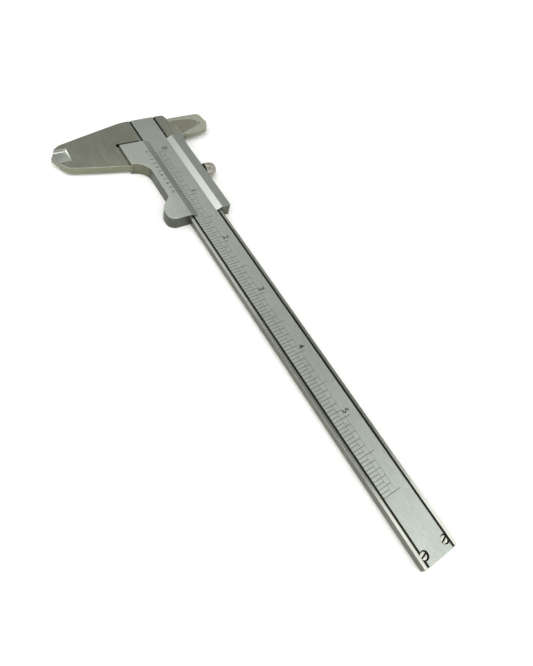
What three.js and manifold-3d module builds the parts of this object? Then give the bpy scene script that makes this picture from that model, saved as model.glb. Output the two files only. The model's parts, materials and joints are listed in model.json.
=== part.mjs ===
// Vernier caliper, inch scale, 5 inch range. Millimetres, +Z up.
// Working axes while drawing: X = 0 at the jaw contact plane and grows toward the tail,
// Y = 0 on the beam centre line with the inside jaws on +Y, Z = 0 on the graduated face.
import * as THREE from "three";
import { mergeVertices } from "three/addons/utils/BufferGeometryUtils.js";
import { ConvexGeometry } from "three/addons/geometries/ConvexGeometry.js";
import Module from "manifold-3d";

const wasm = await Module();
wasm.setup();
const { Manifold, Mesh } = wasm;

// ---- driving dimensions -------------------------------------------------
const tail = 180.7;              // tail end of the beam
const head = -13.3;              // head end of the beam
const beamHalf = 6.63;           // half the beam width
const beamThick = 2.7;
const grooveY = 5.23;            // front grooves beside the scale
const grooveWide = 0.7;
const grooveDeep = 0.35;
const rodWide = 3.2;             // depth rod section
const rodThick = 1.1;
const rodStart = 19;
const rodSlotWide = 3.8;
const rodSlotDeep = 1.3;
const rodSlotStart = 16;

const slideFront = 0.8;          // front of the slider body
const plateFront = 1.15;         // front of the vernier plate, cut back beside the relief
const slideRear = 43.7;          // rear of the slider body
const slideTop = 1.25;           // slider face above the beam face
const slideBack = -3.7;          // back of the slider, the lowest plane
const railOuter = 10.6;          // upper rail, outer edge
const railInner = 7.45;          // upper rail, inner edge (gib side)
const channelLow = -6.7;         // lower channel wall
const faceGap = 0.06;            // running clearance over the beam face
const backGap = 0.08;            // running clearance under the beam
const jawGap = 0.03;             // between the closed measuring faces

const knifeX = -5.8;             // plane where the inside jaws meet
const hornSplit = -1.35;         // level between the two inside jaws
const hornGap = 0.05;            // each jaw keeps this far from the split
const reliefY = -15.6;           // drilled relief at the top of the jaws
const reliefR = 0.95;
const reliefSlot = -0.85;        // the fixed jaw is cut back to here above the drilled relief
const tipThin = 0.75;            // ground away from each face of the tips
const tipTop = -34.9;
const tipSlope = 0.4;            // the ground-away ends slope by this much

const gibThick = 0.55;
const gibGap = 0.12;
const screwZ = -0.85;            // axis of the lock screw
const screwX = 21.8;
const setZ = -1.3;               // axis of the gib screws
const setX = [8.2, 35.6];
const knobR = 2.8;
const stopX = 177.7;             // stop screws near the tail
const stopY = 4.2;
const stopSlot = { "-1": 13, "1": 19 };   // degrees each slot is turned from Y

// ---- helpers ------------------------------------------------------------
function solid(geometry) {
  geometry.deleteAttribute("normal");
  geometry.deleteAttribute("uv");
  const g = mergeVertices(geometry, 1e-5);
  const mesh = new Mesh({
    numProp: 3,
    vertProperties: new Float32Array(g.attributes.position.array),
    triVerts: new Uint32Array(g.index.array),
  });
  mesh.merge();
  return new Manifold(mesh);
}

function box(x0, x1, y0, y1, z0, z1) {
  const g = new THREE.BoxGeometry(x1 - x0, y1 - y0, z1 - z0);
  g.translate((x0 + x1) / 2, (y0 + y1) / 2, (z0 + z1) / 2);
  return solid(g);
}

// outline in X and Y pushed from z0 to z1
function plate(points, z0, z1) {
  const shape = new THREE.Shape(points.map(([x, y]) => new THREE.Vector2(x, y)));
  const g = new THREE.ExtrudeGeometry(shape, { depth: z1 - z0, bevelEnabled: false });
  g.translate(0, 0, z0);
  return solid(g);
}

// section in Y and Z pushed along X
function bar(points, x0, x1) {
  const shape = new THREE.Shape(points.map(([y, z]) => new THREE.Vector2(y, z)));
  const g = new THREE.ExtrudeGeometry(shape, { depth: x1 - x0, bevelEnabled: false });
  g.applyMatrix4(new THREE.Matrix4().makeBasis(
    new THREE.Vector3(0, 1, 0), new THREE.Vector3(0, 0, 1), new THREE.Vector3(1, 0, 0)));
  g.translate(x0, 0, 0);
  return solid(g);
}

function hull(points) {
  return solid(new ConvexGeometry(points.map((p) => new THREE.Vector3(...p))));
}

// turned piece: profile of [radius, height] pairs, height along the chosen axis
function turned(profile, axis, at, sides = 32) {
  const g = new THREE.LatheGeometry(profile.map(([r, h]) => new THREE.Vector2(r, h)), sides);
  if (axis === "z") g.rotateX(Math.PI / 2);
  g.translate(...at);
  return solid(g);
}

function rod(r, h0, h1, axis, at, sides = 32) {
  return turned([[0, h0], [r, h0], [r, h1], [0, h1]], axis, at, sides);
}

// outline with its corners rounded: each corner is [x, y, radius], radius may be left out
function rounded(corners) {
  const out = [];
  corners.forEach(([x, y, r = 0], i) => {
    if (r === 0) { out.push([x, y]); return; }
    const before = corners[(i + corners.length - 1) % corners.length];
    const after = corners[(i + 1) % corners.length];
    const here = new THREE.Vector2(x, y);
    const a = new THREE.Vector2(before[0], before[1]).sub(here).normalize();
    const b = new THREE.Vector2(after[0], after[1]).sub(here).normalize();
    const half = Math.acos(a.dot(b)) / 2;
    const centre = a.clone().add(b).normalize().multiplyScalar(r / Math.sin(half)).add(here);
    const start = a.clone().multiplyScalar(r / Math.tan(half)).add(here).sub(centre).angle();
    const end = b.clone().multiplyScalar(r / Math.tan(half)).add(here).sub(centre).angle();
    let turn = end - start;
    if (turn > Math.PI) turn -= 2 * Math.PI;
    if (turn < -Math.PI) turn += 2 * Math.PI;
    const n = Math.max(2, Math.ceil(Math.abs(turn) / (Math.PI / 15)));
    for (let k = 0; k <= n; k += 1) {
      const t = start + (turn * k) / n;
      out.push([centre.x + r * Math.cos(t), centre.y + r * Math.sin(t)]);
    }
  });
  return out;
}

// ---- beam with the fixed jaws ------------------------------------------
const fixedOutline = rounded([
  [0, -41.4], [-0.5, -41.2], [-4.3, -38.9, 1.5], [-5.9, -36.6, 2.5], [-8.4, -27.2], [-10.65, -18.3],
  [-12.85, -9.4, 6], [-13.05, -4.3], [-13.25, 2.0], [head, 6.5], [head, 9.7, 1.2],
  [-10.2, 10.5], [-8.2, 10.9], [-6.3, 11.2], [-4.2, 11.6], [-2.0, 12.3], [0, 12.9],
  [0, beamHalf], [tail, beamHalf], [tail, -beamHalf], [0, -beamHalf],
]);
const cutAll = 5;
let beam = plate(fixedOutline, -beamThick, 0);
// only the front half of the head carries on above the beam, the moving jaw runs behind it
beam = beam.subtract(box(-20, 5, 8.2, 20, -cutAll, hornSplit + hornGap));
// fixed inside jaw: front half, knife edge on the left, flat rim on the right
const fixedHorn = plate([
  [0, 10], [0, 12.9], [0.45, 14.2], [0.5, 17], [0.3, 19.2], [0, 21.3], [-0.35, 23.3],
  [-0.75, 24.2], [-1.6, 24.8], [-3.2, 25.6], [-4.6, 26.2], [knifeX, 26.5],
  [knifeX, 13.4], [-6.3, 12.6], [-7.2, 11.9], [-7.2, 10],
], hornSplit + hornGap, 0);
const edgeZ = hornSplit + hornGap + 0.15;
const hollowRim = [
  [-0.3, 12.75], [-3.7, 21.6], [-4.3, 22.8], [-5.2, 23.7], [-9, 24.3], [-9, 11.6],
  [knifeX - 0.6, 11.4], [-4.2, 11.5],
];
const hollow = hull([
  ...hollowRim.map(([x, y]) => [x, y, 0.01]), ...hollowRim.map(([x, y]) => [x, y, 1]),
  [knifeX, 22.3, edgeZ], [-9, 22.3, edgeZ], [knifeX, 13.2, edgeZ], [-9, 13.2, edgeZ],
]);
// the tips are ground away from the front with sloping ends
const tipCut = hull([
  [-3.25, -45, -tipThin], [2.95, -45, -tipThin], [-3.25, tipTop - 0.2, -tipThin],
  [2.95, tipTop - 0.2, -tipThin],
  ...[0, 1].flatMap((z) => [
    [-3.25 - tipSlope, -45, z], [2.95 + tipSlope, -45, z],
    [-3.25 - tipSlope, tipTop - 0.2 + tipSlope, z], [2.95 + tipSlope, tipTop - 0.2 + tipSlope, z],
  ]),
]);
beam = beam.add(fixedHorn).subtract(hollow);
for (const side of [-1, 1]) {
  beam = beam.subtract(box(head - 2, tail + 2, side * grooveY - grooveWide / 2,
    side * grooveY + grooveWide / 2, -grooveDeep, 1));
}
beam = beam
  .subtract(box(rodSlotStart, tail + 2, -rodSlotWide / 2, rodSlotWide / 2,
    -cutAll, -beamThick + rodSlotDeep))
  .subtract(rod(reliefR, -cutAll, 1, "z", [0, reliefY, 0], 24))
  .subtract(box(reliefSlot, 1, reliefY, -beamHalf, -cutAll, 1))
  .subtract(tipCut)
  .subtract(box(-3.4, 1, -45, tipTop, -cutAll, -beamThick + tipThin));
for (const side of [-1, 1]) {
  beam = beam
    .subtract(rod(1.4, -1.3, 1, "z", [stopX, side * stopY, 0]))
    .subtract(rod(0.9, -cutAll, 0, "z", [stopX, side * stopY, 0], 20));
}

// ---- slider with the moving jaws ---------------------------------------
const slideOutline = rounded([
  [slideFront, railOuter + 1.8], [slideFront, -15.65, 0.25], [12.35, -15.65],
  [13.75, -9.75, 5.5], [32.4, -9.75, 2.4], [37.2, -14.65, 5], [slideRear, -14.65, 3.2],
  [slideRear, railOuter, 0.3], [7.4, railOuter], [5.0, railOuter + 0.2],
  [2.8, railOuter + 0.9],
]);
let slider = plate(slideOutline, slideBack, slideTop);
// moving outside jaw, thinner than the body and level with the fixed jaw
slider = slider.add(plate(rounded([
  [jawGap, -41.4], [jawGap + 0.5, -41.2], [5.4, -38.6, 1.2], [6.8, -37.4, 1.2], [7.8, -33.8], [9.5, -26.8],
  [11.0, -19.6], [12.2, -14.6], [12.2, -12], [jawGap + 1.5, -12],
  [jawGap + 1.5, reliefY + 0.4], [jawGap, reliefY + 0.4],
]), -beamThick, 0));
// moving inside jaw, behind the fixed one
const hornTopZ = hornSplit - hornGap;
slider = slider.add(plate([
  [6, 8.7], [6, railOuter + 0.05], [5.0, railOuter + 0.2], [2.8, railOuter + 0.9],
  [1.8, 11.9], [1.1, 12.7], [0.2, 14.0], [-1.2, 15.1], [-3.2, 15.9], [-4.8, 16.4],
  [knifeX, 17.2], [knifeX, 26.8], [-8.0, 27.1], [-10.4, 26.9], [-11.7, 26.5], [-12.65, 25.4],
  [-12.65, 13.4], [-12.4, 11.6], [-11.7, 10.1], [-10.5, 9.1], [-9.0, 8.7],
], -beamThick, hornTopZ));
slider = slider.subtract(hull([
  [-9.5, 28, -beamThick - 0.01], [-9.5, 17, -beamThick - 0.01], [-9.5, 28, -cutAll],
  [-9.5, 17, -cutAll], [knifeX, 28, hornTopZ - 0.5], [knifeX, 17.8, hornTopZ - 0.5],
  [knifeX + 2, 28, hornTopZ - 0.5], [knifeX + 2, 28, -cutAll],
  [knifeX + 0.01, 17, -beamThick - 0.01], [knifeX + 0.01, 17, -cutAll],
]));
const dishRim = [
  [-10.9, 12.6], [-10.4, 18], [-9.7, 21.8], [-8.4, 23.3], [knifeX + 1, 24.0],
  [knifeX + 1, 11.0], [-9.6, 11.0],
];
slider = slider.subtract(hull([
  ...dishRim.map(([x, y]) => [x, y, hornTopZ + 0.005]),
  [-8.9, 14.0, hornTopZ - 0.3], [-8.4, 21.2, hornTopZ - 0.3],
  [knifeX + 1, 22.4, hornTopZ - 0.3], [knifeX + 1, 12.8, hornTopZ - 0.3],
]));
// channel for the beam, then the open window with its two sloping edges
slider = slider
  .subtract(box(-20, 60, channelLow, railInner, -beamThick - backGap, faceGap))
  .subtract(bar([[-3.15, -0.5], [4.55, -0.5], [4.55, faceGap], [7.0, slideTop], [7.0, 3],
    [-6.0, 3], [-6.0, slideTop], [-3.15, faceGap]], -5, 60))
  .subtract(rod(reliefR, -cutAll, 3, "z", [0, reliefY, 0], 24))
  .subtract(tipCut)
  .subtract(box(-1, 3.2, -45, tipTop, -cutAll, -beamThick + tipThin));
slider = slider.subtract(box(0, plateFront, reliefY - 0.1, -5.5, -cutAll, 3));
// holes along Y in the upper rail, then the rod screw seats in the back
slider = slider.subtract(rod(1.4, 7.3, 20, "y", [screwX, 0, screwZ], 24));
for (const x of setX) slider = slider.subtract(rod(1.05, 7.3, 20, "y", [x, 0, setZ], 24));
const rodScrewX = [24.5, 31.5];
for (const x of rodScrewX) {
  slider = slider
    .subtract(rod(0.85, -cutAll, -2.5, "z", [x, 0, 0], 20))
    .subtract(rod(1.35, -cutAll, slideBack + 0.38, "z", [x, 0, 0], 24));
}

// ---- small pieces -------------------------------------------------------
const gib = box(2.2, 42.4, beamHalf + gibGap, beamHalf + gibGap + gibThick, -2.45, -0.25);

// knurled knob with a domed cap, turned about Y; the flutes are cut with a ring of small bars
let lockScrew = turned([
  [0, 7.36], [0.75, 7.36], [1.15, 7.7], [1.15, 10.9], [2.5, 10.9], [knobR, 11.2],
  [knobR, 13.9], [2.66, 14.5], [2.3, 15.1], [1.75, 15.6], [1.0, 15.95], [0, 16.1],
], "y", [screwX, 0, screwZ], 40);
for (let i = 0; i < 20; i += 1) {
  const a = ((i + 0.5) * 2 * Math.PI) / 20;
  const x = screwX + (knobR + 0.08) * Math.cos(a);
  const z = screwZ + (knobR + 0.08) * Math.sin(a);
  lockScrew = lockScrew.subtract(rod(0.24, 10, 14.3, "y", [x, 0, z], 6));
}

function headless(y0, y1, x) {
  return turned([[0, y0], [0.55, y0], [0.85, y0 + 0.25], [0.85, y1 - 0.1], [0.75, y1], [0, y1]],
    "y", [x, 0, setZ], 24)
    .subtract(box(x - 2, x + 2, y1 - 0.45, y1 + 1, setZ - 0.15, setZ + 0.15));
}

const depthRod = box(rodStart, tail, -rodWide / 2, rodWide / 2,
  -beamThick, -beamThick + rodThick)
  .subtract(box(tail - 4, tail + 1, 0.9, 3, -cutAll, 0));
let rodHoled = depthRod;
for (const x of rodScrewX) {
  rodHoled = rodHoled.subtract(rod(0.85, -cutAll, 0, "z", [x, 0, 0], 20));
}
function rodScrew(x) {
  return turned([[0, -3.66], [1.1, -3.66], [1.1, -3.36], [0.6, -3.36], [0.6, -1.8], [0, -1.8]],
    "z", [x, 0, 0], 24)
    .subtract(box(x - 0.15, x + 0.15, -2, 2, -cutAll, -3.5));
}

const stopBack = -beamThick - 0.72;
let stopPlate = box(175.0, 180.2, -6.0, 6.0, stopBack, -beamThick - 0.02);
for (const side of [-1, 1]) {
  stopPlate = stopPlate.subtract(rod(0.85, -cutAll, 0, "z", [stopX, side * stopY, 0], 20));
}
function stopScrew(side) {
  return turned([[0, stopBack], [0.65, stopBack], [0.65, -1.28], [1.22, -1.28], [1.22, -0.68],
    [1.12, -0.55], [0, -0.5]], "z", [0, 0, 0], 28)
    .subtract(box(-0.22, 0.22, -2, 2, -0.95, 1))
    .rotate([0, 0, stopSlot[side]])
    .translate([stopX, side * stopY, 0]);
}

// ---- assembly -----------------------------------------------------------
// shift so the origin is under the middle of the whole closed caliper
const lowX = head;
const origin = [(lowX + tail) / 2, (-41.4 + 27.1) / 2, slideBack];
const group = new THREE.Group();
group.name = "vernier_caliper";

const finish = {
  satin: { color: 0xa9ada3, metalness: 1, roughness: 0.38 },
  ground: { color: 0x8f9084, metalness: 1, roughness: 0.28 },
  bright: { color: 0xc9ccc6, metalness: 1, roughness: 0.2 },
  screw: { color: 0x9a9c94, metalness: 1, roughness: 0.3 },
};

function place(name, body, look) {
  const m = body.getMesh();
  const g = new THREE.BufferGeometry();
  const count = m.vertProperties.length / m.numProp;
  const position = new Float32Array(count * 3);
  for (let i = 0; i < count; i += 1) {
    for (let k = 0; k < 3; k += 1) {
      position[i * 3 + k] = m.vertProperties[i * m.numProp + k] - origin[k];
    }
  }
  g.setAttribute("position", new THREE.BufferAttribute(position, 3));
  g.setIndex(new THREE.BufferAttribute(new Uint32Array(m.triVerts), 1));
  g.computeVertexNormals();
  const mesh = new THREE.Mesh(g, new THREE.MeshStandardMaterial(finish[look]));
  mesh.name = name;
  group.add(mesh);
}

place("main_beam", beam, "satin");
place("slider", slider, "satin");
place("gib_strip", gib, "bright");
place("lock_screw", lockScrew, "bright");
setX.forEach((x, i) => {
  place(`gib_press_screw_${i + 1}`, headless(7.36, 8.7, x), "screw");
  place(`gib_set_screw_${i + 1}`, headless(8.9, 10.35, x), "screw");
});
place("depth_rod", rodHoled, "bright");
rodScrewX.forEach((x, i) => place(`depth_rod_screw_${i + 1}`, rodScrew(x), "screw"));
place("stop_plate", stopPlate, "satin");
place("stop_screw_lower", stopScrew(-1), "screw");
place("stop_screw_upper", stopScrew(1), "screw");

export default group;
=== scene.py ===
import json
import math

import bmesh
import bpy
from mathutils import Matrix, Vector


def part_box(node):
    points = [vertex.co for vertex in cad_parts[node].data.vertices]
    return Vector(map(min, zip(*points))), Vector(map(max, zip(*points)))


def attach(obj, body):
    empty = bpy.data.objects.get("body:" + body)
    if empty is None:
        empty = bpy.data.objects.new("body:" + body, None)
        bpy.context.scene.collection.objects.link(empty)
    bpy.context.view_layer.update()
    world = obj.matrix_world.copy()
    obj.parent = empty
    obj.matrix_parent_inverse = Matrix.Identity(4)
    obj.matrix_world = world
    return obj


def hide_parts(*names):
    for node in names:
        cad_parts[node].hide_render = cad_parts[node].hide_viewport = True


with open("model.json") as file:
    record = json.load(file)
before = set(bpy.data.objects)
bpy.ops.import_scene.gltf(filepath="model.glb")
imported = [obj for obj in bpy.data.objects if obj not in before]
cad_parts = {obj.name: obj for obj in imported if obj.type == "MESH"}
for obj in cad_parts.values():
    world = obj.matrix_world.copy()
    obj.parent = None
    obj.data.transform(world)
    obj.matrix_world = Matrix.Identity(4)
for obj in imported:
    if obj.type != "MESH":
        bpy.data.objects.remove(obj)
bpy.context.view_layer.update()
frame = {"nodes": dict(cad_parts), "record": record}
mm = 0.001

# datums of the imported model: where the closed jaws meet, the beam's centre line and its graduated face
mounts = {m["name"]: Vector(m["pos_m"]) for m in frame["record"]["mounts"]}
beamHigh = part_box("main_beam")[1]
lowerScrew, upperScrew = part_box("stop_screw_lower"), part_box("stop_screw_upper")
jawX = mounts["outside_measuring_face"].x
midY = (lowerScrew[0].y + upperScrew[1].y) / 2
faceZ = beamHigh.z
plateZ = faceZ + 1.25 * mm       # slider plate above the beam's face
print("frame loaded", [round(v / mm, 2) for v in (jawX, midY, faceZ)])


# sRGB hex to the linear numbers that the shader wants
def linear(hexColour):
    parts = [int(hexColour[i:i + 2], 16) / 255 for i in (1, 3, 5)]
    return tuple(p / 12.92 if p <= 0.04045 else ((p + 0.055) / 1.055) ** 2.4 for p in parts) + (1.0,)


# adds one node; settings are its sockets by name or number, or its properties, and links feed its sockets
def addNode(tree, kind, settings=None, links=None):
    node = tree.nodes.new(kind)
    for key, value in (settings or {}).items():
        if isinstance(key, int) or key in node.inputs:
            node.inputs[key].default_value = value
        else:
            setattr(node, key, value)
    for key, source in (links or {}).items():
        tree.links.new(source, node.inputs[key])
    return node


# shared by all the steels: how much the grain and the scuffs change the colour and the gloss
steelLook = {"grainRange": (0.3, 0.7), "stainRange": (0.42, 0.75), "smearRange": (0.35, 0.7),
             "smear": (-0.03, 0.05)}


# steel with a machined grain. stretch squeezes the grain along the cut, so 1, 1, 1 is a blasted surface
def machinedSteel(name, look):
    grainRange, stainRange, smearRange = (steelLook[k] for k in ("grainRange", "stainRange", "smearRange"))
    material = bpy.data.materials.new(name)
    material.use_nodes = True
    tree = material.node_tree
    tree.nodes.clear()
    place = addNode(tree, "ShaderNodeTexCoord").outputs["Object"]
    along = addNode(tree, "ShaderNodeMapping", {"Scale": look["stretch"]}, {"Vector": place})
    grain = addNode(tree, "ShaderNodeTexNoise",
                    {"Scale": 1 / look["grain"], "Detail": 5.0, "Roughness": 0.65},
                    {"Vector": along.outputs["Vector"]})
    scuff = addNode(tree, "ShaderNodeTexNoise",
                    {"Scale": 1 / look["scuff"], "Detail": 4.0, "Roughness": 0.6, "Distortion": 0.4},
                    {"Vector": place})
    blend = addNode(tree, "ShaderNodeMapRange", {"From Min": grainRange[0], "From Max": grainRange[1]},
                    {"Value": grain.outputs["Fac"]})
    tone = addNode(tree, "ShaderNodeMix",
                   {"data_type": "RGBA", 6: linear(look["dark"]), 7: linear(look["light"])},
                   {0: blend.outputs["Result"]})
    worn = addNode(tree, "ShaderNodeMapRange",
                   {"From Min": stainRange[0], "From Max": stainRange[1], "To Max": look["handled"]},
                   {"Value": scuff.outputs["Fac"]})
    colour = addNode(tree, "ShaderNodeMix", {"data_type": "RGBA", 7: linear(look["stain"])},
                     {0: worn.outputs["Result"], 6: tone.outputs[2]})
    low, high = look["roughness"]
    gloss = addNode(tree, "ShaderNodeMapRange", {"To Min": low, "To Max": high},
                    {"Value": grain.outputs["Fac"]})
    smear = addNode(tree, "ShaderNodeMapRange",
                    {"From Min": smearRange[0], "From Max": smearRange[1],
                     "To Min": steelLook["smear"][0], "To Max": steelLook["smear"][1]},
                    {"Value": scuff.outputs["Fac"]})
    rough = addNode(tree, "ShaderNodeMath", {"operation": "ADD", "use_clamp": True},
                    {0: gloss.outputs["Result"], 1: smear.outputs["Result"]})
    bump = addNode(tree, "ShaderNodeBump", {"Strength": look["bump"], "Distance": look["depth"]},
                   {"Height": grain.outputs["Fac"]})
    shader = addNode(tree, "ShaderNodeBsdfPrincipled", {"Metallic": look["metallic"]},
                     {"Base Color": colour.outputs[2], "Roughness": rough.outputs["Value"],
                      "Normal": bump.outputs["Normal"]})
    addNode(tree, "ShaderNodeOutputMaterial", {}, {"Surface": shader.outputs["BSDF"]})
    return material


# Satin chrome over stainless steel, fine blasted so that the marks read without glare: soft even sheen
satinLook = {
    "dark": "#a7ada4", "light": "#bac0b7", "stain": "#9ba29a", "handled": 0.3, "metallic": 1.0,
    "grain": 0.35 * mm, "stretch": (0.25, 1.0, 1.0), "scuff": 14 * mm, "roughness": (0.35, 0.45),
    "bump": 0.25, "depth": 0.004 * mm}
satinScaleFace = machinedSteel("satinScaleFace", satinLook)

# The vernier plate had a finer blasting than the beam: a little paler
finerSatinPlate = machinedSteel("finerSatinPlate", {
    **satinLook, "dark": "#b6bcb3", "light": "#cad0c7", "stain": "#aab1a9", "grain": 0.3 * mm})

# The same chrome on the slider's rail, rubbed by hands: a little darker and smoother
rubbedSatinRail = machinedSteel("rubbedSatinRail", {
    **satinLook, "dark": "#979d95", "light": "#a9afa6", "stain": "#8c928a", "roughness": (0.32, 0.42)})

# The window's upper slope and the step up from the jaw: a paler copy of the satin chrome, a painted highlight
# for the light these slopes catch
slopePaintedHighlight = machinedSteel("slopePaintedHighlight", {
    **satinLook, "dark": "#d3d8d0", "light": "#dee2db", "stain": "#c9cfc6", "roughness": (0.3, 0.38)})

# The window's lower slope under the vernier lines, in half shade
vernierSlope = machinedSteel("vernierSlope", {
    **satinLook, "dark": "#8d928b", "light": "#9ba099", "stain": "#848981", "roughness": (0.33, 0.42)})

# Hardened stainless steel, surface ground lengthwise: fine lines along the beam, olive grey where it is dark
groundLook = {
    "dark": "#b9bbaa", "light": "#c9cbba", "stain": "#acae9d", "handled": 0.4, "metallic": 1.0,
    "grain": 0.3 * mm, "stretch": (0.04, 1.0, 1.0), "scuff": 11 * mm, "roughness": (0.18, 0.26),
    "bump": 0.15, "depth": 0.003 * mm}
groundJawFace = machinedSteel("groundJawFace", groundLook)

# Ground edges of the beam that the slider runs on: cleaner and brighter, with less of the olive
runningRail = machinedSteel("runningRail", {
    **groundLook, "dark": "#b6b9ae", "light": "#c4c6bb", "stain": "#a6a99d", "roughness": (0.18, 0.26)})

# Flat rim and tip of the inside jaws, stoned by hand: pale against the hollow
stonedRim = machinedSteel("stonedRim", {
    **groundLook, "dark": "#bfc3b1", "light": "#ced2c1", "stain": "#aeb3a0", "stretch": (1.0, 0.1, 1.0),
    "roughness": (0.26, 0.36)})

# Hollow ground with a small wheel behind the knife edges: duller, with the wheel's fine lines across; its darker
# colour is painted shade for the horns' faces that lie in shade
wheelHollowShade = machinedSteel("wheelHollowShade", {
    **groundLook, "dark": "#8f8f7d", "light": "#a6a694", "stain": "#84836f", "grain": 0.4 * mm,
    "stretch": (1.0, 0.08, 1.0), "roughness": (0.28, 0.4)})

# The same steel on the narrow walls, linished with a belt: lines along the wall, duller and browner, and darker
# than the faces as painted shade
linishedShadeLook = {
    "dark": "#7b7c6b", "light": "#92937f", "stain": "#6d6e5d", "handled": 0.4, "metallic": 1.0,
    "grain": 0.4 * mm, "stretch": (0.15, 0.15, 1.0), "scuff": 8 * mm, "roughness": (0.32, 0.44),
    "bump": 0.3, "depth": 0.005 * mm}
linishedJawWallShade = machinedSteel("linishedJawWallShade", linishedShadeLook)

# The same wall where the jaw turns into the body: one shade darker, painted shade
shadedJawWall = machinedSteel("shadedJawWall", {
    **linishedShadeLook, "dark": "#6a6b5b", "light": "#7e7f6e", "stain": "#5d5e50"})

# The beam's long edges, ground with a coarser wheel: grey rather than olive
groundBeamEdge = machinedSteel("groundBeamEdge", {
    **linishedShadeLook, "dark": "#696b63", "light": "#7c7e75", "stain": "#5c5e56", "stretch": (0.06, 1.0, 1.0)})

# Walls of the slider body, left from the milling cutter: darker, with upright bands
milledSliderWall = machinedSteel("milledSliderWall", {
    **linishedShadeLook, "dark": "#52554d", "light": "#6a6d63", "stain": "#474a42", "grain": 0.7 * mm,
    "stretch": (1.0, 1.0, 0.08), "handled": 0.5})

# Lapped steel on the measuring faces and tips: nearly a mirror, with the finest of haze
lappedFace = machinedSteel("lappedFace", {
    "dark": "#d2d6cc", "light": "#e0e3da", "stain": "#c4c8bc", "handled": 0.3, "metallic": 1.0,
    "grain": 0.3 * mm, "stretch": (1.0, 0.1, 1.0), "scuff": 5 * mm, "roughness": (0.2, 0.3),
    "bump": 0.1, "depth": 0.002 * mm})

# Corners broken with a stone and polished by hands: the thin bright line round every face
brokenCorner = machinedSteel("brokenCorner", {
    "dark": "#a9aaa0", "light": "#c4c5bb", "stain": "#97988d", "handled": 0.4, "metallic": 1.0,
    "grain": 0.5 * mm, "stretch": (1.0, 1.0, 1.0), "scuff": 4 * mm, "roughness": (0.24, 0.38),
    "bump": 0.1, "depth": 0.003 * mm})

# Near-black finish in the milled grooves along the beam: painted shade for the shadow down in them, dull, with
# grey patches
grooveShadeBlack = machinedSteel("grooveShadeBlack", {
    "dark": "#2a2b26", "light": "#3a3b35", "stain": "#3c3e38", "handled": 0.7, "metallic": 0.8,
    "grain": 0.5 * mm, "stretch": (0.2, 1.0, 1.0), "scuff": 6 * mm, "roughness": (0.26, 0.4),
    "bump": 0.2, "depth": 0.01 * mm})

# Turned and hardened screw steel: faint rings, a little darker than the beam
turnedLook = {
    "dark": "#b3b2a8", "light": "#cbcac0", "stain": "#98978c", "handled": 0.35, "metallic": 1.0,
    "grain": 0.25 * mm, "stretch": (1.0, 1.0, 1.0), "scuff": 2 * mm, "roughness": (0.22, 0.34),
    "bump": 0.1, "depth": 0.003 * mm}
turnedScrewSteel = machinedSteel("turnedScrewSteel", turnedLook)

# Painted shade in the counterbores, the relief slot, the stop screws' slots and sides and at the foot of the
# lock screw's knurl: nearly black and dull
recessPaintedShade = machinedSteel("recessPaintedShade", {
    **turnedLook, "dark": "#35352f", "light": "#4a4a42", "stain": "#26261f", "roughness": (0.4, 0.55)})

# Nickel plated knob, dulled by fingers: warm grey with a soft highlight
platedKnob = machinedSteel("platedKnob", {
    **turnedLook, "dark": "#9c998d", "light": "#b5b2a6", "stain": "#85827a", "roughness": (0.3, 0.42),
    "bump": 0.05})

# Drawn bright steel of the depth rod and gib: long draw lines and a higher shine
drawnRodSteel = machinedSteel("drawnRodSteel", {
    "dark": "#aeaea6", "light": "#cbcbc3", "stain": "#93938a", "handled": 0.35, "metallic": 1.0,
    "grain": 0.3 * mm, "stretch": (0.03, 1.0, 1.0), "scuff": 9 * mm, "roughness": (0.2, 0.3),
    "bump": 0.25, "depth": 0.004 * mm})


# marks are etched and filled with dark grey enamel, worn paler here and there
def etchedEnamel(name, look):
    material = bpy.data.materials.new(name)
    material.use_nodes = True
    tree = material.node_tree
    tree.nodes.clear()
    place = addNode(tree, "ShaderNodeTexCoord").outputs["Object"]
    wear = addNode(tree, "ShaderNodeTexNoise", {"Scale": 1 / look["patch"], "Detail": 4.0},
                   {"Vector": place})
    share = addNode(tree, "ShaderNodeMapRange", {"From Min": 0.4, "From Max": 0.75},
                    {"Value": wear.outputs["Fac"]})
    colour = addNode(tree, "ShaderNodeMix",
                     {"data_type": "RGBA", 6: linear(look["fill"]), 7: linear(look["thin"])},
                     {0: share.outputs["Result"]})
    rough = addNode(tree, "ShaderNodeMapRange", {"To Min": 0.4, "To Max": 0.65},
                    {"Value": wear.outputs["Fac"]})
    bump = addNode(tree, "ShaderNodeBump", {"Strength": 0.3, "Distance": 0.005 * mm},
                   {"Height": wear.outputs["Fac"]})
    shader = addNode(tree, "ShaderNodeBsdfPrincipled", {"Metallic": 0.0},
                     {"Base Color": colour.outputs[2], "Roughness": rough.outputs["Result"],
                      "Normal": bump.outputs["Normal"]})
    addNode(tree, "ShaderNodeOutputMaterial", {}, {"Surface": shader.outputs["BSDF"]})
    return material


etchedMark = etchedEnamel("etchedMark", {"fill": "#262923", "thin": "#474b44", "patch": 0.8 * mm})
print("finishes made")


# puts a finished bmesh into the scene as one piece and lets it ride
def addPiece(name, shape, finishes, body, smooth=50):
    mesh = bpy.data.meshes.new(name)
    shape.to_mesh(mesh)
    shape.free()
    stored = mesh.attributes.get("custom_normal")      # the CAD mesh's own normals don't suit new corners
    if stored:
        mesh.attributes.remove(stored)
    for finish in finishes:
        mesh.materials.append(finish)
    mesh.polygons.foreach_set("use_smooth", [True] * len(mesh.polygons))
    mesh.set_sharp_from_angle(angle=math.radians(smooth))
    piece = bpy.data.objects.new(name, mesh)
    bpy.context.scene.collection.objects.link(piece)
    weight = piece.modifiers.new("flatFacesFirst", "WEIGHTED_NORMAL")   # corners shade into flat faces
    weight.weight, weight.keep_sharp = 100, True
    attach(piece, body)
    return piece


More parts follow.
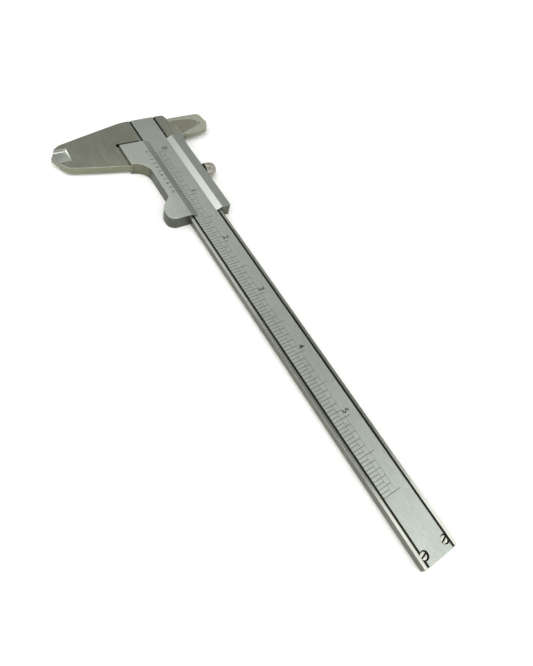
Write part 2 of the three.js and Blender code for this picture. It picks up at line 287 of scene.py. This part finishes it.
# where the outside jaws meet, and the relief slot behind them, measured from the datums
sharpPlaces = {"contactHalf": 0.1 * mm, "contactTop": -15 * mm, "reliefFrom": -1.1 * mm, "reliefTo": 0.1 * mm,
               "reliefLow": -16.7 * mm, "reliefTop": -6.5 * mm}


def inReliefY(y):
    return sharpPlaces["reliefLow"] < y < sharpPlaces["reliefTop"]


# measuring faces stay sharp, and so do the walls of the relief
def staysSharp(edge):
    spots = [v.co - Vector((jawX, midY, faceZ)) for v in edge.verts]
    onContact = all(abs(s.x) < sharpPlaces["contactHalf"] and s.y < sharpPlaces["contactTop"] for s in spots)
    inRelief = all(sharpPlaces["reliefFrom"] < s.x < sharpPlaces["reliefTo"] and inReliefY(s.y)
                   for s in spots)
    return onContact or inRelief


# a copy of a CAD node's shape with flat faces joined up and its corners broken. Corners that turn by more than
# sharpest degrees stay; the new corner faces get finish 0 and all others finish 1
def brokenCopy(node, corner, sharpest=150):
    shape = bmesh.new()
    shape.from_mesh(frame["nodes"][node].data)
    bmesh.ops.remove_doubles(shape, verts=shape.verts, dist=1e-7)
    bmesh.ops.dissolve_limit(shape, angle_limit=math.radians(0.3), verts=shape.verts, edges=shape.edges)
    corners = [e for e in shape.edges if len(e.link_faces) == 2 and e.is_convex
               and 25 < math.degrees(e.calc_face_angle()) < sharpest and not staysSharp(e)]
    for face in shape.faces:
        face.material_index = 1
    made = bmesh.ops.bevel(shape, geom=corners, offset=corner, offset_type="OFFSET", segments=2,
                           profile=0.5, affect="EDGES", material=-1, clamp_overlap=False)
    for face in made["faces"]:
        face.material_index = 0
    return shape


# beam, head and the two fixed jaws
beamLook = {"cornerRound": 0.07 * mm, "grooveY": 5.23 * mm, "grooveHalf": 0.4 * mm, "grooveDeep": 0.4 * mm,
            "hollowRoot": 12.2 * mm, "railFrom": 0.9 * mm, "railOut": 6.7 * mm, "edgeY": 6.65 * mm,
            "tailFrom": 170 * mm, "counterbore": 1.5 * mm, "counterboreDeep": 2.4 * mm}
tipLook = {"deep": 0.8 * mm, "below": -34 * mm}     # recess at the ends of the outside jaws
flatWithin = 0.02 * mm       # heights closer than this count as one level
beamShape = brokenCopy("main_beam", beamLook["cornerRound"])
for spot, way in (((jawX + beamLook["railFrom"], 0, 0), (1, 0, 0)),
                  ((0, midY + beamLook["hollowRoot"], 0), (0, 1, 0))):      # lets one flat carry two finishes
    bmesh.ops.bisect_plane(beamShape, geom=beamShape.verts[:] + beamShape.edges[:] + beamShape.faces[:],
                           plane_co=spot, plane_no=way)
stopSpots = [(low + high) / 2 for low, high in (lowerScrew, upperScrew)]
beamFinishes = [brokenCorner, linishedJawWallShade, satinScaleFace, grooveShadeBlack, groundJawFace, lappedFace,
                runningRail, stonedRim, wheelHollowShade, recessPaintedShade, groundBeamEdge]
for face in beamShape.faces:
    spot, way = face.calc_center_median(), face.normal
    x, y, z = spot.x - jawX, spot.y - midY, spot.z - faceZ
    # walls take the darker wall steel, painted shade
    finish = groundJawFace if abs(way.z) > 0.3 else linishedJawWallShade
    onLongEdge = abs(way.y) > 0.9 and abs(abs(y) - beamLook["edgeY"]) < 0.1 * mm
    if onLongEdge or way.x > 0.9 and x > beamLook["tailFrom"]:
        finish = groundBeamEdge
    flatTop = abs(way.z) > 0.9 and abs(z) < flatWithin
    nearGroove = abs(abs(y) - beamLook["grooveY"]) < beamLook["grooveHalf"]
    inGroove = nearGroove and -beamLook["grooveDeep"] < z < -0.01 * mm
    nearScrew = min((spot.xy - s.xy).length for s in stopSpots) < beamLook["counterbore"]
    inCounterbore = nearScrew and -beamLook["counterboreDeep"] < z < -flatWithin and way.z > -0.5
    inRelief = -1.0 * mm < x < 0.05 * mm and inReliefY(y) and abs(way.z) < 0.5
    # counterbores and the relief slot get painted shade
    if inCounterbore or inRelief:
        finish = recessPaintedShade
    # groove floor and wall: painted shade
    elif inGroove and (abs(way.z) > 0.9 or abs(way.y) > 0.9):
        finish = grooveShadeBlack
    elif face.material_index == 0:
        finish = brokenCorner
    # inside jaws: flat tops get the pale rim, sloped faces the hollow's painted shade
    elif y > beamLook["hollowRoot"] - 1 * mm and way.z > 0.3 and not (flatTop and y < beamLook["hollowRoot"]):
        finish = stonedRim if flatTop else wheelHollowShade
    elif flatTop and abs(y) < beamLook["grooveY"]:
        finish = satinScaleFace
    elif flatTop and abs(y) < beamLook["railOut"] and x > 1 * mm:
        finish = runningRail
    elif way.z > 0.3 and -tipLook["deep"] < z < -0.05 * mm and y < tipLook["below"]:
        finish = lappedFace
    face.material_index = beamFinishes.index(finish)
beam = addPiece("beamWithFixedJaws", beamShape, beamFinishes, "beam")
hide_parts("main_beam")
print("beam finished")

# slider with the two moving jaws
sliderLook = {"cornerRound": 0.08 * mm, "hornTop": -1.4 * mm, "jawTop": -15.9 * mm, "stepTo": 12.6 * mm,
              "shadedFrom": 12.3 * mm, "milledFrom": 16 * mm, "sharpest": 140}
sliderShape = brokenCopy("slider", sliderLook["cornerRound"], sliderLook["sharpest"])
sliderFinishes = [brokenCorner, linishedJawWallShade, finerSatinPlate, groundJawFace, lappedFace, rubbedSatinRail,
                  slopePaintedHighlight, vernierSlope, milledSliderWall, stonedRim, wheelHollowShade, shadedJawWall]
for face in sliderShape.faces:
    spot, way = face.calc_center_median(), face.normal
    x, y, z = spot.x - jawX, spot.y - midY, spot.z - faceZ
    onBody = x > sliderLook["milledFrom"] or y > 0
    # the jaw's walls take the darker wall steel, painted shade
    finish = groundJawFace if abs(way.z) > 0.3 else milledSliderWall if onBody else linishedJawWallShade
    if way.y < -0.5 and z > 0 and x < sliderLook["stepTo"]:
        finish = slopePaintedHighlight      # the step up from the jaw to the plate gets the painted highlight
    elif abs(way.z) < 0.3 and not onBody and x > sliderLook["shadedFrom"] and y > sliderLook["jawTop"]:
        finish = shadedJawWall      # painted shade between the jaw's wall and the body's
    if face.material_index == 0:
        finish = brokenCorner
    elif way.z > 0.5 and z > 0.03 * mm:
        finish = rubbedSatinRail if y > 0 else finerSatinPlate
        # sloped faces of the plate and rail: painted highlight on the upper slope, the half-shade copy on the
        # lower
        if way.z < 0.98:
            finish = slopePaintedHighlight if y > 0 else vernierSlope
    # inside jaws: flat tops get the pale rim, lower faces the hollow's painted shade
    elif way.z > 0.3 and y > 10 * mm and x < -1 * mm:
        finish = stonedRim if z > sliderLook["hornTop"] - flatWithin else wheelHollowShade
    elif way.z > 0.3 and -tipLook["deep"] < z < -0.05 * mm and y < tipLook["below"]:
        finish = lappedFace
    face.material_index = sliderFinishes.index(finish)
slider = addPiece("sliderWithMovingJaws", sliderShape, sliderFinishes, "slide")
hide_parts("slider")
print("slider finished")

# small turned and drawn pieces keep the CAD shape with broken corners: CAD node, name, body it rides on, finish,
# slot and the size of its corners
smallPieces = [
    ("gib_strip", "gibStrip", "gib", drawnRodSteel, "bright_steel", 0.04 * mm),
    ("gib_press_screw_1", "gibPressScrew1", "slide", turnedScrewSteel, "screw_steel", 0.03 * mm),
    ("gib_press_screw_2", "gibPressScrew2", "slide", turnedScrewSteel, "screw_steel", 0.03 * mm),
    ("gib_set_screw_1", "gibSetScrew1", "slide", turnedScrewSteel, "screw_steel", 0.03 * mm),
    ("gib_set_screw_2", "gibSetScrew2", "slide", turnedScrewSteel, "screw_steel", 0.03 * mm),
    ("depth_rod", "depthRod", "slide", drawnRodSteel, "bright_steel", 0.05 * mm),
    ("depth_rod_screw_1", "depthRodScrew1", "slide", turnedScrewSteel, "screw_steel", 0.03 * mm),
    ("depth_rod_screw_2", "depthRodScrew2", "slide", turnedScrewSteel, "screw_steel", 0.03 * mm),
    ("stop_plate", "stopPlate", "beam", groundJawFace, "satin_steel", 0.06 * mm),
    ("stop_screw_lower", "stopScrewLower", "beam", turnedScrewSteel, "screw_steel", 0.04 * mm),
    ("stop_screw_upper", "stopScrewUpper", "beam", turnedScrewSteel, "screw_steel", 0.04 * mm),
]
slotDepth = 0.12 * mm       # faces this far below a stop screw's top are in its slot or down its side, and get painted shade
for node, name, body, finish, slot, corner in smallPieces:
    shape = brokenCopy(node, corner)
    top = max(v.co.z for v in shape.verts)
    for face in shape.faces:
        if node.startswith("stop_screw") and face.calc_center_median().z < top - slotDepth:
            face.material_index = 2
    piece = addPiece(name, shape, [finish, finish, recessPaintedShade], body)
    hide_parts(node)
print("small pieces finished")

# lock screw: a knurled head with a domed cap, turned about Y. The profile is radius and height in mm, and the
# heights and radius that follow it say where the knurl and the painted shade stop, in mm too
lockLook = {"steps": 96, "flutes": 24, "fluteDepth": 0.16 * mm,
            "profile": [(0.0, 7.36), (0.75, 7.36), (1.15, 7.7), (1.15, 10.88), (2.42, 10.9), (2.62, 11.0),
                        (2.78, 11.25), (2.8, 11.6), (2.8, 12.4), (2.8, 13.2), (2.78, 13.6), (2.66, 13.95),
                        (2.62, 14.1), (2.6, 14.35), (2.45, 14.85), (2.15, 15.3), (1.7, 15.7),
                        (1.15, 15.95), (0.6, 16.07), (0.0, 16.1)],
            "knurlFrom": 11.2, "knurlTo": 13.7, "knurlRadius": 2.7, "shadedBelow": 11.3, "smooth": 40}
lockLow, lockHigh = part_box("lock_screw")
lockAxis = Vector(((lockLow.x + lockHigh.x) / 2, midY, (lockLow.z + lockHigh.z) / 2))
lockShape = bmesh.new()
chain = [lockShape.verts.new((r * mm, h * mm, 0)) for r, h in lockLook["profile"]]
edges = [lockShape.edges.new(pair) for pair in zip(chain, chain[1:])]
bmesh.ops.spin(lockShape, geom=chain + edges, cent=(0, 0, 0), axis=(0, 1, 0), angle=2 * math.pi,
               steps=lockLook["steps"], use_merge=True)
bmesh.ops.remove_doubles(lockShape, verts=lockShape.verts, dist=1e-6)
bmesh.ops.recalc_face_normals(lockShape, faces=lockShape.faces)
for vert in lockShape.verts:      # straight knurl pressed into the rim
    radius = math.hypot(vert.co.x, vert.co.z)
    inKnurl = lockLook["knurlFrom"] * mm < vert.co.y < lockLook["knurlTo"] * mm
    if inKnurl and radius > lockLook["knurlRadius"] * mm:
        turn = math.atan2(vert.co.z, vert.co.x)
        cut = lockLook["fluteDepth"] * (0.5 + 0.5 * math.cos(turn * lockLook["flutes"]))
        vert.co.x *= 1 - cut / radius
        vert.co.z *= 1 - cut / radius
bmesh.ops.translate(lockShape, verts=lockShape.verts, vec=lockAxis)
for face in lockShape.faces:      # painted shade at the foot of the knurl and on the thread
    if face.calc_center_median().y - lockAxis.y < lockLook["shadedBelow"] * mm:
        face.material_index = 1
lockScrew = addPiece("lockScrew", lockShape, [platedKnob, recessPaintedShade], "lock",
                     lockLook["smooth"])
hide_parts("lock_screw")
print("lock screw finished")


markLook = {"sunk": -0.03 * mm, "letterThick": 0.015 * mm, "sizeForHeight": 1.37}


# thin strips of filling, let into the surface and a hair proud of it; each is x0, x1, y0, y1, z0, z1
def etchedLines(name, lines, body, tilt=None):
    shape = bmesh.new()
    for x0, x1, y0, y1, z0, z1 in lines:
        made = bmesh.ops.create_cube(shape, size=1.0)
        size = Vector((x1 - x0, y1 - y0, z1 - z0))
        middle = Vector(((x0 + x1) / 2, (y0 + y1) / 2, (z0 + z1) / 2))
        bmesh.ops.scale(shape, vec=size, verts=made["verts"])
        bmesh.ops.translate(shape, vec=middle, verts=made["verts"])
    if tilt:
        bmesh.ops.rotate(shape, verts=shape.verts, cent=tilt["foot"],
                         matrix=Matrix.Rotation(tilt["angle"], 3, "X"))
    bmesh.ops.translate(shape, verts=shape.verts, vec=(jawX, midY, faceZ))
    return addPiece(name, shape, [etchedMark], body)


# numbers made a mesh first and put in place after; items are text, x and y, and bold is added to each stroke
def etchedNumbers(name, items, height, bold, body, level):
    shape = bmesh.new()
    for text, x, y in items:
        curve = bpy.data.curves.new("number", "FONT")
        curve.body, curve.size = text, height * markLook["sizeForHeight"]
        curve.extrude = markLook["letterThick"]
        curve.align_x, curve.align_y, curve.resolution_u = "CENTER", "CENTER", 4
        curve.offset = bold
        shown = bpy.data.objects.new("number", curve)
        bpy.context.scene.collection.objects.link(shown)
        bpy.context.view_layer.update()
        flat = bpy.data.meshes.new_from_object(shown.evaluated_get(bpy.context.evaluated_depsgraph_get()))
        bpy.data.objects.remove(shown)
        flat.transform(Matrix.Translation((jawX + x, midY + y, level)))
        shape.from_mesh(flat)
        bpy.data.meshes.remove(flat)
    bmesh.ops.remove_doubles(shape, verts=shape.verts, dist=1e-8)
    return addPiece(name, shape, [etchedMark], body)


# main scale: twentieths of an inch
scaleLook = {"zero": 7.66 * mm, "inch": 25.4 * mm, "line": 0.16 * mm, "foot": -4.82 * mm,
             "short": -1.7 * mm, "medium": 0.05 * mm, "long": 1.7 * mm, "proud": 0.006 * mm,
             "fineHalf": 0.035 * mm, "inches": 6, "number": 2.3 * mm, "bold": 0.05 * mm,
             "zeroNumber": (6.0 * mm, 1.3 * mm), "numberBack": 1.7 * mm, "numberY": 1.2 * mm}
half = scaleLook["line"] / 2
marks = []
for step in range(scaleLook["inches"] * 20 + 1):
    x = scaleLook["zero"] + step * scaleLook["inch"] / 20
    top = "long" if step % 10 == 0 else "medium" if step % 2 == 0 else "short"
    marks.append((x - half, x + half, scaleLook["foot"], scaleLook[top],
                  markLook["sunk"], scaleLook["proud"]))
for y in (scaleLook["short"], scaleLook["medium"]):       # the two fine lines that run along the scale
    marks.append((scaleLook["zero"], scaleLook["zero"] + scaleLook["inches"] * scaleLook["inch"],
                  y - scaleLook["fineHalf"], y + scaleLook["fineHalf"],
                  markLook["sunk"], scaleLook["proud"] * 0.8))
etchedLines("mainScaleLines", marks, "beam")
numbers = [("0", *scaleLook["zeroNumber"])] + [
    (str(n), scaleLook["zero"] + n * scaleLook["inch"] - scaleLook["numberBack"], scaleLook["numberY"])
    for n in range(1, scaleLook["inches"])]
etchedNumbers("mainScaleNumbers", numbers, scaleLook["number"], scaleLook["bold"], "beam", faceZ)

# vernier: lines down the lower slope, with every second one carried onto the plate, and numbers on the plate
vernierLook = {"zero": 7.66 * mm, "pitch": 1.143 * mm, "line": 0.11 * mm, "slopeFoot": (-3.15, 0.06),
               "slopeTop": (-6.0, 1.25), "plateRun": 0.35 * mm, "number": 1.1 * mm, "numberY": -7.15 * mm,
               "bold": 0.02 * mm, "lines": 21, "shorter": 0.2, "fromFoot": 0.1 * mm, "proud": 0.006 * mm}
(footY, footZ), (topY, topZ) = vernierLook["slopeFoot"], vernierLook["slopeTop"]      # in mm
half = vernierLook["line"] / 2
slopeLong = math.hypot(topY - footY, topZ - footZ) * mm
slopeTurn = -math.atan2(topZ - footZ, footY - topY)
marks = []
for step in range(vernierLook["lines"]):
    x = vernierLook["zero"] + step * vernierLook["pitch"]
    reach = 0.0 if step % 2 == 0 else vernierLook["shorter"] * slopeLong
    marks.append((x - half, x + half, footY * mm - slopeLong + reach, footY * mm - vernierLook["fromFoot"],
                  footZ * mm + markLook["sunk"], footZ * mm + vernierLook["proud"]))
etchedLines("vernierLines", marks, "slide",
            {"foot": (0, footY * mm, footZ * mm), "angle": slopeTurn})
marks = []
for step in range(0, vernierLook["lines"], 2):
    x = vernierLook["zero"] + step * vernierLook["pitch"]
    marks.append((x - half, x + half, topY * mm - vernierLook["plateRun"], topY * mm,
                  topZ * mm + markLook["sunk"], topZ * mm + vernierLook["proud"]))
etchedLines("vernierPlateLines", marks, "slide")
numbers = [(str(n), vernierLook["zero"] + 2 * n * vernierLook["pitch"], vernierLook["numberY"])
           for n in range(11)]
etchedNumbers("vernierNumbers", numbers, vernierLook["number"], vernierLook["bold"], "slide", plateZ)
print("scales finished")

# floor
floorLook = {"half": 2.5, "light": "#fbfbf9", "dark": "#f7f7f5"}
floorShape = bmesh.new()
bmesh.ops.create_grid(floorShape, x_segments=4, y_segments=4, size=floorLook["half"])
floorMesh = bpy.data.meshes.new("studioFloor")
floorShape.to_mesh(floorMesh)
floorShape.free()
paper = bpy.data.materials.new("matBackdropPaper")     # plain white paper: no shine, faint unevenness
paper.use_nodes = True
paper.node_tree.nodes.clear()
paperPlace = addNode(paper.node_tree, "ShaderNodeTexCoord").outputs["Object"]
paperNoise = addNode(paper.node_tree, "ShaderNodeTexNoise", {"Scale": 6.0, "Detail": 2.0},
                     {"Vector": paperPlace})
paperTone = addNode(paper.node_tree, "ShaderNodeMix",
                    {"data_type": "RGBA", 6: linear(floorLook["dark"]), 7: linear(floorLook["light"])},
                    {0: paperNoise.outputs["Fac"]})
paperShader = addNode(paper.node_tree, "ShaderNodeBsdfPrincipled", {"Roughness": 0.9},
                      {"Base Color": paperTone.outputs[2]})
addNode(paper.node_tree, "ShaderNodeOutputMaterial", {}, {"Surface": paperShader.outputs["BSDF"]})
floorMesh.materials.append(paper)
floor = bpy.data.objects.new("studioFloor", floorMesh)
bpy.context.scene.collection.objects.link(floor)

# studio: a room that is white low down, with a white sweep at the horizon, and grey above
roomLook = {"low": (0.85, 0.86, 0.84, 1.0), "high": (0.24, 0.245, 0.235, 1.0), "strength": 1.0,
            "sweepFrom": 0.05, "sweepTo": 0.3}
room = bpy.data.worlds.new("studioRoom")
room.use_nodes = True
room.node_tree.nodes.clear()
roomWay = addNode(room.node_tree, "ShaderNodeTexCoord").outputs["Generated"]
roomParts = addNode(room.node_tree, "ShaderNodeSeparateXYZ", {}, {"Vector": roomWay})
roomRise = addNode(room.node_tree, "ShaderNodeMapRange",
                   {"From Min": roomLook["sweepFrom"], "From Max": roomLook["sweepTo"]},
                   {"Value": roomParts.outputs["Z"]})
roomTone = addNode(room.node_tree, "ShaderNodeMix",
                   {"data_type": "RGBA", 6: roomLook["low"], 7: roomLook["high"]},
                   {0: roomRise.outputs["Result"]})
roomGlow = addNode(room.node_tree, "ShaderNodeBackground", {"Strength": roomLook["strength"]},
                   {"Color": roomTone.outputs[2]})
addNode(room.node_tree, "ShaderNodeOutputWorld", {}, {"Surface": roomGlow.outputs["Background"]})
bpy.context.scene.world = room

# each soft box hangs level over a middle point
softBoxes = [
    {"name": "tailBox", "middle": (0.68, 0.35), "size": (1.11, 1.9), "height": 1.0, "glow": 1.6},
    {"name": "headBox", "middle": (-0.69, -0.2), "size": (0.52, 1.46), "height": 1.0, "glow": 1.25},
    {"name": "topBox", "middle": (-0.12, -0.28), "size": (0.5, 1.0), "height": 1.0, "glow": 2.4},
    {"name": "farBox", "middle": (-0.2, 1.3), "size": (0.5, 0.7), "height": 1.0, "glow": 2.0},
    {"name": "frontBox", "middle": (0.45, -1.6), "size": (1.5, 1.3), "height": 1.0, "glow": 4.2},
    {"name": "backBox", "middle": (-1.7, 1.5), "size": (1.2, 1.2), "height": 1.0, "glow": 0.9},
]
for box in softBoxes:
    lamp = bpy.data.lights.new(box["name"], "AREA")
    wide, deep = box["size"]
    lamp.shape, lamp.size, lamp.size_y = "RECTANGLE", wide, deep
    lamp.energy = box["glow"] * math.pi * wide * deep
    stand = bpy.data.objects.new(box["name"], lamp)
    stand.location = (*box["middle"], box["height"])
    bpy.context.scene.collection.objects.link(stand)

# camera
cameraLook = {"lens": 25.715, "place": (0.06910, -0.06926, 0.13332),
              "right": (0.51979, 0.82431, 0.22432), "up": (-0.78054, 0.35153, 0.51689),
              "back": (0.34723, -0.44377, 0.82614)}
eye = bpy.data.cameras.new("studioCamera")
eye.lens, eye.sensor_width, eye.clip_start, eye.clip_end = cameraLook["lens"], 36.0, 0.005, 20.0
camera = bpy.data.objects.new("studioCamera", eye)
turn = Matrix((cameraLook["right"], cameraLook["up"], cameraLook["back"])).transposed()
camera.matrix_world = Matrix.Translation(cameraLook["place"]) @ turn.to_4x4()
bpy.context.scene.collection.objects.link(camera)
bpy.context.scene.camera = camera
bpy.context.scene.view_settings.view_transform = "Standard"
print("studio ready")
